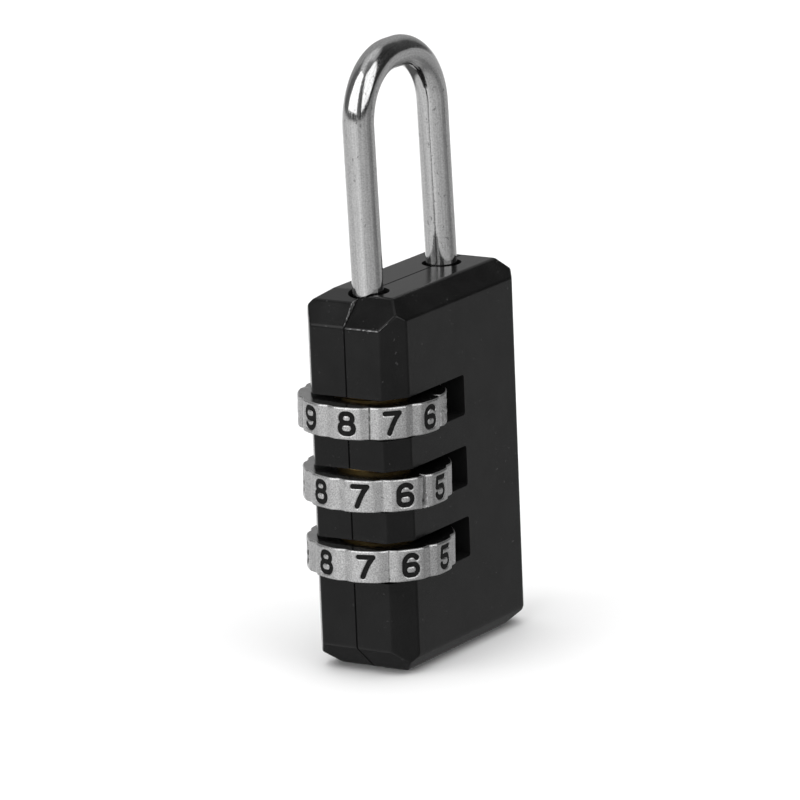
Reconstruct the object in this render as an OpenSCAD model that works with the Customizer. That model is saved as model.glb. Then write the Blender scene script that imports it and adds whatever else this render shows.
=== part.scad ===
// Resettable three-dial luggage padlock. Millimetres, +Z up.
// The origin is the middle of the flat bottom face. X runs across the width, with the dials at -X.
// Y runs through the thickness, and the body splits into two half shells on the plane Y = 0.

/* [Body] */
// Height of the body without the shackle
body_h = 36; // [34:0.5:38]
// Width across the two narrow faces
body_w = 23.7; // [23:0.1:26]
// Thickness across the two broad faces
body_t = 10.9; // [10.4:0.1:11.6]
// How far the top and bottom chamfers of a narrow face run in
narrow_inset = 2.95; // [1:0.05:3.2]
// How far the same chamfers run down the face
narrow_drop = 2.55; // [1:0.05:2.6]
// How far the top and bottom chamfers of a broad face run in
broad_inset = 1.78; // [0.5:0.02:1.8]
// How far the same chamfers run down the face
broad_drop = 1.8; // [0.5:0.05:1.8]
// Corner facet, measured along the broad face
facet_x = 2.3; // [0.5:0.1:2.5]
// Corner facet, measured along the narrow face
facet_y = 1.65; // [0.5:0.05:1.7]
// How far the top chamfer of the rear half's broad face runs in, which is less than on the front half
rear_inset = 1.4; // [0.5:0.02:1.8]
// Where the rear half's top starts to slope down to the dial end
rear_slope_x = -7; // [-8:0.1:-6]
// How much lower that slope ends
rear_slope_drop = 0.45; // [0.1:0.05:0.6]
// How far in from the narrow face it ends
rear_corner = 1.7; // [1:0.05:2.9]
// Gap between the mating planes of the half shells
seam_gap = 0.04; // [0.02:0.01:0.1]

/* [Dials] */
// Outer diameter of a dial
dial_d = 14.06; // [13.8:0.02:14.3]
// Thickness of a dial
dial_h = 3.06; // [3:0.02:3.3]
// Distance from one dial to the next
dial_pitch = 6.88; // [6.8:0.02:7]
// How far the dials lie above the middle of their windows
dial_rise = 0.04; // [0:0.02:0.14]
// Height of the window that a dial turns in
window_h = 3.9; // [3.7:0.05:4]
// Where the windows end, past the dial
window_end_x = 0.2; // [0.2:0.05:0.4]
// Radius of the round inner corners of a window
window_corner = 0.3; // [0.1:0.05:0.4]
// Edge chamfer of a dial
dial_edge = 0.1; // [0.04:0.02:0.3]
// Depth of the grooves between the numbered pads
groove_depth = 0.34; // [0.2:0.02:0.4]
// Width of a groove at the rim
groove_w = 1.25; // [1:0.05:1.4]
// Angle of each dial off its click position, from the top dial down
dial_off = [-5.2, 0.4, 2.2]; // [-5.3:0.1:5.3]
// Digit that each dial shows to the front, from the top dial down
shown = [6, 5, 5];

/* [Numerals] */
// Height of a digit
digit_h = 2.4; // [2.2:0.05:2.5]
// Width of a digit
digit_w = 1.9; // [1.6:0.05:2]
// Stroke of a digit
digit_stroke = 0.5; // [0.3:0.01:0.55]
// Depth of the engraving
engrave = 0.25; // [0.15:0.01:0.3]
// How far the paint lies below the rim
paint_below = 0.07; // [0.04:0.01:0.1]

/* [Shackle] */
// Wire diameter
wire_d = 3; // [2.8:0.05:3]
// Where the long leg stands, on the axis of the dials
long_leg_x = -7.35; // [-7.4:0.05:-7.2]
// Where the short leg stands
toe_leg_x = 5.75; // [5.3:0.05:6]
// Straight length of both legs above the body
leg_above = 15.55; // [10:0.05:25]
// Radius of the two bends, at the middle of the wire
bend_r = 6; // [5:0.1:6.4]
// Depth of the short leg in its socket
toe_depth = 5; // [4:0.1:6]
// Diameter of the two holes in the top
leg_hole_d = 3.56; // [3.3:0.02:3.6]
// Height of a locking fin
fin_h = 1.6; // [1.2:0.1:1.6]
// Width of a locking fin
fin_w = 1; // [0.8:0.05:1]
// How far a fin reaches from the axis of the leg
fin_reach = 2.55; // [2.3:0.05:2.6]

/* [Clutch] */
// Outer diameter of a clutch sleeve
sleeve_d = 7.2; // [7:0.05:7.2]
// How far the sleeves sink when a new code is set
reset_stroke = 1.5; // [1.4:0.05:1.5]
// Width of the keyway that lets a fin through
keyway_w = 1.2; // [1.1:0.02:1.4]
// Width of the lug that locks a sleeve to its dial
lug_w = 0.7; // [0.5:0.05:0.8]
// Radial running fit of sleeve, dial and housing
fit = 0.1; // [0.06:0.01:0.12]
// Wire diameter of the reset spring
spring_wire = 0.6; // [0.4:0.05:0.7]
// Turns of the reset spring
spring_turns = 4; // [3:1:5]

/* [Assembly] */
// Diameter of the four pins that hold the half shells together
pin_d = 1.6; // [1.2:0.1:1.8]
// Length of such a pin
pin_len = 7; // [5:0.5:7.5]
// Thickness of the detent leaf spring
leaf_t = 0.25; // [0.2:0.05:0.3]

/* [Hidden] */

$fn = 96;
eps = 0.01;
far = 40;
digits = 10;
step = 360 / digits;

dial_r = dial_d / 2;
wire_r = wire_d / 2;
leg_hole_r = leg_hole_d / 2;
sleeve_r = sleeve_d / 2;
sleeve_bore_r = wire_r + fit;

// Middle of each window and of its dial, from the top down
window_z = [for (i = [0 : 2]) body_h / 2 + (1 - i) * dial_pitch];
dial_z = [for (z = window_z) z + dial_rise];
stack_top = window_z[0] + dial_pitch / 2;
stack_bottom = window_z[2] - dial_pitch / 2;
sleeve_gap = 0.05;

// A fin at rest lies in the relief at the foot of its sleeve
fin_low = 0.2;
relief_r = fin_reach + 0.2;
relief_h = fin_low + fin_h + reset_stroke + 0.1;
fin_room_h = fin_low + fin_h + 0.08;

// The lug sits low in the dial, so that sinking frees it
lug_low = 0.15;
lug_h = 1.2;
lug_reach = sleeve_r + 0.65;
notch_r = lug_reach + 0.15;
notch_h = lug_low + lug_h + 0.2;
notch_w = 1.5;

seat_t = 0.35;
spring_low = 2.6;
spring_high = stack_bottom - seat_t - sleeve_gap - 0.02;
spring_r = sleeve_r - 0.35;
leg_low = stack_bottom - 2;

bend_z = body_h + leg_above;

// The leaf spring stands behind the dials
leaf_x = 2.05;
leaf_half_y = 1.9;
leaf_room_x = 2.3;
leaf_room_half_y = 2.3;
leaf_low = dial_z[2] - 2.6;
leaf_high = dial_z[0] + 2.6;
tip_r = 0.4;
rim_x = long_leg_x + dial_r;
// A tip lies in its groove, or rides on the rim of a dial that is more than a degree off its click
tip_in = rim_x - groove_depth + 0.12 + tip_r;
tip_out = rim_x + 0.06 + tip_r;
tip_x = [for (a = dial_off) abs(a) > 1 ? tip_out : tip_in];

pin_at = [[-0.7, 4.6], [8.6, 6.2], [8.6, 27.4], [-0.7, 32.6]];

core_x = [3.4, 9.9];
core_z = [3.4, 29.4];
core_half_y = body_t / 2 - 1.9;
core_boss_r = pin_d / 2 + 1;

black = [0.05, 0.05, 0.055];
dial_metal = [0.74, 0.74, 0.72];
bright = [0.86, 0.87, 0.88];
spring_steel = [0.6, 0.6, 0.62];
brassy = [0.76, 0.62, 0.34];
ink = [0.02, 0.02, 0.02];

module on_axis(z = 0) {
    translate([long_leg_x, 0, z]) children();
}

// A cylinder along Y through the point [x, z]
module across(x, z, r, len) {
    translate([x, len / 2, z]) rotate([90, 0, 0]) cylinder(r = r, h = len);
}

// ---- Body ----

// Outline with cut corners, centred on X, from y = 0 up to h
module chamfered(w, h, inset, drop, top_inset) {
    polygon([
        [-w / 2 + inset, 0], [w / 2 - inset, 0], [w / 2, drop], [w / 2, h - drop],
        [w / 2 - top_inset, h], [-w / 2 + top_inset, h], [-w / 2, h - drop], [-w / 2, drop],
    ]);
}

// Outline of a broad face of the front half
module front_outline() {
    chamfered(body_w, body_h, narrow_inset, narrow_drop, narrow_inset);
}

// The rear half has a smaller chamfer at the top of the dial end, then a gentle slope up to the flat top
module rear_outline() {
    polygon([
        [-body_w / 2 + narrow_inset, 0], [body_w / 2 - narrow_inset, 0],
        [body_w / 2, narrow_drop], [body_w / 2, body_h - narrow_drop],
        [body_w / 2 - narrow_inset, body_h], [rear_slope_x, body_h],
        [-body_w / 2 + rear_corner, body_h - rear_slope_drop],
        [-body_w / 2, body_h - narrow_drop], [-body_w / 2, narrow_drop],
    ]);
}

// The block that a broad face's outline gives, with chamfered broad faces and corner facets
module block(top_inset) {
    intersection() {
        translate([0, -body_t / 2, -eps])
            linear_extrude(body_h + 2 * eps) chamfered(body_w, body_t, facet_x, facet_y, facet_x);
        translate([0, far / 2, 0]) rotate([90, 0, 0]) linear_extrude(far) children();
        translate([-far / 2, 0, 0]) rotate([90, 0, 90])
            linear_extrude(far) chamfered(body_t, body_h, broad_inset, broad_drop, top_inset);
    }
}

// A window is open at the narrow face and at both broad faces
module window(z) {
    r = window_corner;
    translate([0, far / 2, z]) rotate([90, 0, 0]) linear_extrude(far) {
        translate([-far, -window_h / 2]) square([far + window_end_x - r, window_h]);
        translate([-far, -window_h / 2 + r]) square([far + window_end_x, window_h - 2 * r]);
        for (s = [-1, 1]) translate([window_end_x - r, s * (window_h / 2 - r)]) circle(r);
    }
}

module leg_holes() {
    on_axis(stack_top) cylinder(r = leg_hole_r, h = far);
    translate([toe_leg_x, 0, body_h - toe_depth - 0.1]) cylinder(r = leg_hole_r, h = far);
}

// The bore for sleeves and reset spring, with room for the lugs and the top fin
module clutch_bore() {
    on_axis(spring_low - 0.1) cylinder(r = sleeve_r + fit, h = stack_top - spring_low + 0.1);
    on_axis(stack_top - eps) cylinder(r = relief_r, h = fin_room_h + eps);
    for (z = dial_z)
        on_axis(z - dial_h / 2 + lug_low - reset_stroke - 0.12) cylinder(r = notch_r, h = dial_h / 2);
}

module leaf_room() {
    translate([window_end_x - 1, -leaf_room_half_y, leaf_low - 0.2])
        cube([leaf_room_x - window_end_x + 1, 2 * leaf_room_half_y, leaf_high - leaf_low + 0.4]);
}

// The moulded core behind the leaf spring, with a boss around each pin
module core() {
    difference() {
        translate([core_x[0], -core_half_y, core_z[0]])
            cube([core_x[1] - core_x[0], 2 * core_half_y, core_z[1] - core_z[0]]);
        for (p = pin_at) across(p[0], p[1], core_boss_r, far);
    }
}

module pin_holes() {
    for (p = pin_at) across(p[0], p[1], pin_d / 2 + 0.02, pin_len + 0.1);
}

// The part of a block on one side of the seam, hollowed out: side is -1 for the front and 1 for the rear
module shell(side) {
    difference() {
        intersection() {
            children();
            translate([-far / 2, side > 0 ? seam_gap / 2 : -far - seam_gap / 2, -1]) cube([far, far, 2 * far]);
        }
        for (z = window_z) window(z);
        leg_holes();
        clutch_bore();
        leaf_room();
        core();
        pin_holes();
    }
}

module front_shell() {
    color(black) shell(-1) block(broad_inset) front_outline();
}

module rear_shell() {
    color(black) shell(1) block(rear_inset) rear_outline();
}

module assembly_pins() {
    color(spring_steel) for (p = pin_at) across(p[0], p[1], pin_d / 2, pin_len);
}

// ---- Shackle ----

module leg(x, low, tip) {
    translate([x, 0, low]) {
        cylinder(r1 = wire_r - tip, r2 = wire_r, h = tip);
        translate([0, 0, tip]) cylinder(r = wire_r, h = bend_z - low - tip);
    }
}

// A quarter bend about the centre x, from angle start to start + 90
module bend(x, start) {
    translate([x, 0, bend_z]) rotate([90, 0, 0]) rotate([0, 0, start]) rotate_extrude(angle = 90)
        translate([bend_r, 0]) circle(wire_r);
}

module shackle() {
    color(bright) union() {
        leg(long_leg_x, leg_low, 0.4);
        leg(toe_leg_x, body_h - toe_depth, 0.4);
        bend(toe_leg_x - bend_r, 0);
        bend(long_leg_x + bend_r, 90);
        translate([long_leg_x + bend_r, 0, bend_z + bend_r]) rotate([0, 90, 0])
            cylinder(r = wire_r, h = toe_leg_x - long_leg_x - 2 * bend_r);
        for (i = [0 : 2])
            translate([long_leg_x + 0.5, -fin_w / 2, stack_bottom + i * dial_pitch + fin_low])
                cube([fin_reach - 0.5, fin_w, fin_h]);
    }
}

// ---- Numerals ----

module bar(a, b, stroke) {
    d = b - a;
    translate(a) rotate(atan2(d[1], d[0])) translate([0, -stroke / 2]) square([norm(d), stroke]);
}

// An arc of a stroke round c, from angle a to angle b, which lie under 180 degrees apart or at 180
module bow(c, r, a, b, stroke) {
    reach = 3 * (r + stroke);
    middle = (a + b) / 2;
    translate(c) intersection() {
        difference() {
            circle(r + stroke / 2);
            circle(r - stroke / 2);
        }
        polygon([
            [0, 0], reach * [cos(a), sin(a)], 2 * reach * [cos(middle), sin(middle)], reach * [cos(b), sin(b)],
        ]);
    }
}

// A digit centred on the origin, drawn with strokes about lines that are half a stroke inside its box
module digit(n, stroke) {
    x = (digit_w - digit_stroke) / 2;
    y = (digit_h - digit_stroke) / 2;
    low_r = 0.53 * y;
    top_r = y - low_r;
    low_y = low_r - y;
    top_y = y - top_r;
    mid_y = 2 * low_r - y;
    e = stroke / 2;
    if (n == 0) {
        bow([0, y - x], x, 0, 180, stroke);
        bow([0, x - y], x, 180, 360, stroke);
        for (s = [-x, x]) bar([s, x - y - eps], [s, y - x + eps], stroke);
    }
    if (n == 1) {
        bar([0.12, -y - e], [0.12, y + e], stroke);
        bar([-0.48, y - 0.5], [0.12, y], stroke);
    }
    if (n == 2) {
        r = 0.66;
        bow([0, y - r], r, 60, 170, stroke);
        bow([0, y - r], r, -40, 70, stroke);
        bar([r * cos(-40) + 0.02, y - r + r * sin(-40)], [-x + 0.15, -y], stroke);
        bar([-x - e, -y], [x + e, -y], stroke);
    }
    if (n == 3) {
        bow([0.16, top_y], top_r, -90, 90, stroke);
        bow([0.2, low_y], low_r, -90, 90, stroke);
        bar([-0.1, mid_y], [0.25, mid_y], stroke);
        bow([-0.16, top_y], top_r, 90, 165, stroke);
        bow([-0.18, low_y], low_r, 195, 270, stroke);
        bar([-0.2, y], [0.2, y], stroke);
        bar([-0.2, -y], [0.25, -y], stroke);
    }
    if (n == 4) {
        bar([0.35, -y - e], [0.35, y + e], stroke);
        bar([-x - e, -0.45], [x + e, -0.45], stroke);
        bar([-x + 0.03, -0.45 - 0.03], [0.35 + 0.02, y + 0.05], stroke);
    }
    if (n == 5) {
        bar([-0.5, y], [x, y], stroke);
        bar([-0.55, y + e], [-0.66, mid_y - 0.05], stroke);
        bow([0.1, low_y + 0.04], low_r + 0.04, -90, 90, stroke);
        bow([-0.12, low_y + 0.04], low_r + 0.04, 195, 270, stroke);
        bar([-0.7, mid_y + 0.08], [0.15, mid_y + 0.08], stroke);
        bar([-0.15, -y], [0.15, -y], stroke);
    }
    if (n == 6 || n == 9) rotate(n == 9 ? 180 : 0) {
        bow([0.18, low_y], low_r, -90, 90, stroke);
        bow([-0.18, low_y], low_r, 90, 270, stroke);
        for (s = [-y, mid_y]) bar([-0.2, s], [0.2, s], stroke);
        bar([-0.18 - low_r, low_y - eps], [-0.18 - low_r, y - x], stroke);
        bow([-0.18 - low_r + x, y - x], x, 90, 180, stroke);
        bow([-0.18 - low_r + x, y - x], x, 35, 100, stroke);
    }
    if (n == 7) {
        bar([-x - e, y], [x + e, y], stroke);
        bar([-0.35, -y - e], [x - 0.02, y], stroke);
    }
    if (n == 8) {
        for (s = [-1, 1]) {
            bow([0.13 * s, top_y], top_r, 90 - 90 * s - 90, 90 - 90 * s + 90, stroke);
            bow([0.18 * s, low_y], low_r, 90 - 90 * s - 90, 90 - 90 * s + 90, stroke);
        }
        for (s = [-y, mid_y, y]) bar([-0.2, s], [0.2, s], stroke);
    }
}

// Every digit of one dial as a block between two radii. The shown digit faces -Y, and the next lower digit
// follows towards +X.
module digit_ring(front_digit, off, low, high, stroke) {
    inside = 0.1;
    intersection() {
        rotate_extrude() translate([low, -dial_h / 2]) square([high - low, dial_h]);
        for (n = [0 : digits - 1])
            rotate(270 + off + (front_digit - n) * step) translate([low - inside, 0, 0])
                rotate([90, 0, 90]) linear_extrude(high - low + 2 * inside) digit(n, stroke);
    }
}

// ---- Dials ----

module dial_ring(i) {
    off = dial_off[i];
    r = (pow(groove_w / 2, 2) + pow(groove_depth, 2)) / (2 * groove_depth);
    bore = sleeve_r + fit;
    on_axis(dial_z[i]) difference() {
        rotate_extrude() polygon([
            [bore, -dial_h / 2], [dial_r - dial_edge, -dial_h / 2], [dial_r, -dial_h / 2 + dial_edge],
            [dial_r, dial_h / 2 - dial_edge], [dial_r - dial_edge, dial_h / 2], [bore, dial_h / 2],
        ]);
        for (k = [0 : digits - 1]) rotate(off + k * step) {
            translate([dial_r - groove_depth + r, 0, -dial_h]) cylinder(r = r, h = 2 * dial_h);
            translate([0, -notch_w / 2, -dial_h]) cube([notch_r, notch_w, dial_h / 2 + notch_h]);
        }
        digit_ring(shown[i], off, dial_r - engrave, dial_r + 0.2, digit_stroke);
    }
}

// The paint stands a little off the floor and the walls of the engraving
module numerals(i) {
    on_axis(dial_z[i])
        digit_ring(shown[i], dial_off[i], dial_r - engrave + 0.01, dial_r - paint_below, digit_stroke - 0.03);
}

module dial_top() {
    color(dial_metal) dial_ring(0);
}

module dial_middle() {
    color(dial_metal) dial_ring(1);
}

module dial_bottom() {
    color(dial_metal) dial_ring(2);
}

module numerals_top() {
    color(ink) numerals(0);
}

module numerals_middle() {
    color(ink) numerals(1);
}

module numerals_bottom() {
    color(ink) numerals(2);
}

// ---- Clutch ----

module sleeve(i) {
    h = dial_pitch - sleeve_gap;
    lug_z = dial_rise + (dial_pitch - dial_h) / 2 + lug_low;
    on_axis(window_z[i] - dial_pitch / 2) difference() {
        union() {
            cylinder(r = sleeve_r, h = h);
            translate([0, -lug_w / 2, lug_z]) cube([lug_reach, lug_w, lug_h]);
        }
        translate([0, 0, -1]) cylinder(r = sleeve_bore_r, h = h + 2);
        translate([0, 0, -1]) cylinder(r = relief_r, h = relief_h + 1);
        translate([0, -keyway_w / 2, -1]) cube([fin_reach + 0.12, keyway_w, h + 2]);
    }
}

module sleeve_top() {
    color(brassy) sleeve(0);
}

module sleeve_middle() {
    color(brassy) sleeve(1);
}

module sleeve_bottom() {
    color(brassy) sleeve(2);
}

module spring_seat() {
    color(spring_steel) on_axis(stack_bottom - sleeve_gap - seat_t) difference() {
        cylinder(r = sleeve_r - 0.1, h = seat_t);
        translate([0, 0, -1]) cylinder(r = wire_r + 0.2, h = seat_t + 2);
    }
}

// A coil swept as rings of points, with a flat turn at each end
function coil_z(t) =
    let (low = spring_low + spring_wire / 2, high = spring_high - spring_wire / 2)
    let (s = min(1, max(0, (t - 0.75) / (spring_turns - 1.5))))
    low + (high - low) * s;

module reset_spring() {
    sides = 8;
    per_turn = 24;
    rings = spring_turns * per_turn;
    points = [
        for (k = [0 : rings]) let (a = 360 * k / per_turn, z = coil_z(k / per_turn))
        for (j = [0 : sides - 1]) let (b = 360 * j / sides, r = spring_r - spring_wire / 2)
            [
                (r + spring_wire / 2 * cos(b)) * cos(a),
                (r + spring_wire / 2 * cos(b)) * sin(a),
                z + spring_wire / 2 * sin(b),
            ],
    ];
    sides_faces = [
        for (k = [0 : rings - 1]) for (j = [0 : sides - 1]) let (n = (j + 1) % sides)
            [k * sides + j, k * sides + n, (k + 1) * sides + n, (k + 1) * sides + j],
    ];
    ends = [
        [for (j = [sides - 1 : -1 : 0]) j],
        [for (j = [0 : sides - 1]) rings * sides + j],
    ];
    color(spring_steel) on_axis() polyhedron(points, concat(sides_faces, ends), convexity = 6);
}

// ---- Detent ----

// A strip of sheet that follows a list of points
module strip(path) {
    for (k = [0 : len(path) - 2]) {
        bar(path[k], path[k + 1], leaf_t);
        translate(path[k]) circle(leaf_t / 2);
    }
    translate(path[len(path) - 1]) circle(leaf_t / 2);
}

// One finger bends forward from the back strip to a round tip, and its free end runs back
module finger(x) {
    linear_extrude(dial_h * 0.7, center = true) {
        strip([[leaf_x, -leaf_half_y], [x + 0.5, -0.9], [x, 0], [x + 0.6, 0.9]]);
        translate([x, 0]) circle(tip_r);
    }
}

module detent_spring() {
    color(spring_steel) union() {
        translate([leaf_x - leaf_t / 2, -leaf_half_y - leaf_t / 2, leaf_low])
            cube([leaf_t, 2 * leaf_half_y, leaf_high - leaf_low]);
        for (i = [0 : 2]) translate([0, 0, dial_z[i]]) finger(tip_x[i]);
    }
}

front_shell();
rear_shell();
shackle();
dial_top();
dial_middle();
dial_bottom();
numerals_top();
numerals_middle();
numerals_bottom();
sleeve_top();
sleeve_middle();
sleeve_bottom();
spring_seat();
reset_spring();
detent_spring();
assembly_pins();
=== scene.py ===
import math
import random

import bmesh
import bpy
import numpy as np
from mathutils import Matrix, Vector


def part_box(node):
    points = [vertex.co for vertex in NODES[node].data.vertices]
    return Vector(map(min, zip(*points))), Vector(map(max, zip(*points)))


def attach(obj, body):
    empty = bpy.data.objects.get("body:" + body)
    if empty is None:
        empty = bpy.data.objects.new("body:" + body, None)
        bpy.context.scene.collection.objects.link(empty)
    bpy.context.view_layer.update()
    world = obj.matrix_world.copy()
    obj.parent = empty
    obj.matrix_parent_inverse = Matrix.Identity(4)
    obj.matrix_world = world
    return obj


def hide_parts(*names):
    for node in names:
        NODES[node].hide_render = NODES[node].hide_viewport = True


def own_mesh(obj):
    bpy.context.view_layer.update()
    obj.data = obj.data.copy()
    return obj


MM = 0.001

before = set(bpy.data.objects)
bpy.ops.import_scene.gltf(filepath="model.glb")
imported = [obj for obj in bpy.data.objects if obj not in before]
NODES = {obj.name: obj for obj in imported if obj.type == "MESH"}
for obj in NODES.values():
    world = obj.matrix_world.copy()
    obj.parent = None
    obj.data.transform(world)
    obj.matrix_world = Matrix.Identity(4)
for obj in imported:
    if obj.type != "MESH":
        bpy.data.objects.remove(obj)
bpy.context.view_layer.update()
SCENE = bpy.context.scene

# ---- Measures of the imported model, in metres ----

HALF_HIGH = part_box("front_shell")[1]
REAR_LOW, REAR_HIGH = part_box("rear_shell")
WIRE_LOW, WIRE_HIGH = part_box("shackle")
BODY_H = HALF_HIGH.z
HALF_W = HALF_HIGH.x
HALF_T = REAR_HIGH.y
SEAM = REAR_LOW.y  # half the gap between the half shells
DIALS = {name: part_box("dial_" + name) for name in ("top", "middle", "bottom")}
AXIS_X = (DIALS["middle"][0].x + DIALS["middle"][1].x) / 2
DIAL_R = (DIALS["middle"][1].x - DIALS["middle"][0].x) / 2
DIAL_H = DIALS["middle"][1].z - DIALS["middle"][0].z
DIAL_Z = {name: (low.z + high.z) / 2 for name, (low, high) in DIALS.items()}
WIRE_R = (WIRE_HIGH.y - WIRE_LOW.y) / 2
TOE_X = WIRE_HIGH.x - WIRE_R
BEND_R = 6 * MM
BEND_Z = WIRE_HIGH.z - WIRE_R - BEND_R

# Shapes of the half shells that a box doesn't give
NARROW_INSET, NARROW_DROP = 2.95 * MM, 2.55 * MM
FAR_INSET, FAR_DROP = 2.25 * MM, 2.65 * MM
BROAD_INSET, BROAD_DROP = 1.78 * MM, 1.8 * MM
REAR_INSET = 1.4 * MM
REAR_SLOPE_X, REAR_SLOPE_DROP, REAR_CORNER = -7 * MM, 0.45 * MM, 1.7 * MM
FACET_X, FACET_Y = 2.3 * MM, 1.65 * MM
WINDOW_H, WINDOW_END, WINDOW_CORNER, DIAL_RISE = 3.9 * MM, 0.2 * MM, 0.3 * MM, 0.04 * MM
# The leg holes, and how far the short leg's tip is off the bottom of its hole
HOLE_R, TOE_HOLE, TOE_GAP = 1.78 * MM, 5.1 * MM, 0.1 * MM
# The lip inside the seam: its height and root, the room round it, and its low and high X and Z
TONGUE_Y, TONGUE_ROOT, TONGUE_ROOM = 0.5 * MM, 1 * MM, 0.03 * MM
TONGUE_X, TONGUE_Z = (8.7 * MM, 10.6 * MM), (1.6 * MM, 34 * MM)
# The rounding of the outer edges, and the bevels at the front (-1) and rear half's seam: a dark groove
EDGE_ROUND, SEAM_BEVEL = 0.22 * MM, {-1: 0.09 * MM, 1: 0.05 * MM}
# A face further than this under the outside belongs to a window or a hole
SKIN = 0.12 * MM
# The bore for the sleeves: its radius, its floor, and how far it reaches above the middle of the top window
BORE_R, BORE_FLOOR, BORE_RISE = 3.7 * MM, 2.5 * MM, 3.44 * MM
# Room for the top fin when the shackle is lifted, and for the lugs when the sleeves are pushed down
FIN_ROOM_R, FIN_ROOM_H = 2.75 * MM, 1.95 * MM
LUG_ROOM_R, LUG_ROOM_Z, LUG_ROOM_H = 4.42 * MM, -3.05 * MM, 1.62 * MM
# Level direction in which the camera looks
FRONT_X, FRONT_Y = 0.8441, 0.5362
# The shackle: the chamfer at its two ends, and its lean to the picture's left per height above the body
TIP, LEAN = 0.4 * MM, 0.0186
# The fins: height above the sleeve's foot, distance from the leg's middle, and size along X, Y and Z
FIN_LOW, FIN_MIDDLE, FIN_SIZE = 0.2 * MM, 1.75 * MM, (1.6 * MM, 1 * MM, 1.6 * MM)


# ---- Camera, floor, light ----

def camera():
    """The photograph's viewpoint: angles, and distances from the body's middle, fitted to the picture."""
    yaw, pitch, roll = math.radians(-57.579), math.radians(13.784), math.radians(-2.298)
    away, side, up, middle = 663.4 * MM, 1.603 * MM, -5.693 * MM, 18 * MM
    back = Vector((math.sin(yaw) * math.cos(pitch), -math.cos(yaw) * math.cos(pitch), math.sin(pitch)))
    level = Vector((math.cos(yaw), math.sin(yaw), 0))
    high = back.cross(level)
    right = level * math.cos(roll) + high * math.sin(roll)
    top = high * math.cos(roll) - level * math.sin(roll)
    place = Vector((0, 0, middle)) + away * back - side * right - up * top
    data = bpy.data.cameras.new("camera")
    data.lens = 314.7
    data.sensor_width = 36
    data.clip_start = 0.01
    data.clip_end = 50
    cam = bpy.data.objects.new("camera", data)
    cam.matrix_world = Matrix.Translation(place) @ Matrix((right, top, back)).transposed().to_4x4()
    SCENE.collection.objects.link(cam)
    SCENE.camera = cam


def new_object(name, mesh):
    obj = bpy.data.objects.new(name, mesh)
    SCENE.collection.objects.link(obj)
    return obj


def floor():
    """A wide pale floor, a hair below the lock so that the two faces don't share a plane."""
    size, drop = 6.0, 0.02 * MM
    mesh = bpy.data.meshes.new("floor")
    corners = [(-size, -size, 0), (size, -size, 0), (size, size, 0), (-size, size, 0)]
    mesh.from_pydata(corners, [], [(0, 1, 2, 3)])
    obj = new_object("floor", mesh)
    obj.location.z = -drop
    obj.data.materials.append(floor_material())
    obj.visible_glossy = False


def area_light(name, place, aim, size, power):
    data = bpy.data.lights.new(name, "AREA")
    data.shape = "RECTANGLE"
    data.size, data.size_y = size
    data.energy = power
    obj = bpy.data.objects.new(name, data)
    obj.location = place
    obj.rotation_euler = (Vector(aim) - Vector(place)).to_track_quat("-Z", "Y").to_euler()
    SCENE.collection.objects.link(obj)
    obj.visible_camera = False
    return obj


def ramp(tree, value, stops):
    """A grey level that follows value, through stops of (value from 0 to 1, level)."""
    node = tree.nodes.new("ShaderNodeValToRGB")
    node.color_ramp.interpolation = "EASE"
    elements = node.color_ramp.elements
    while len(elements) < len(stops):
        elements.new(0.5)
    for element, (place, level) in zip(elements, stops):
        element.position = place
        element.color = (level, level, level, 1)
    tree.links.new(value, node.inputs["Fac"])
    return node.outputs["Color"]


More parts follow.
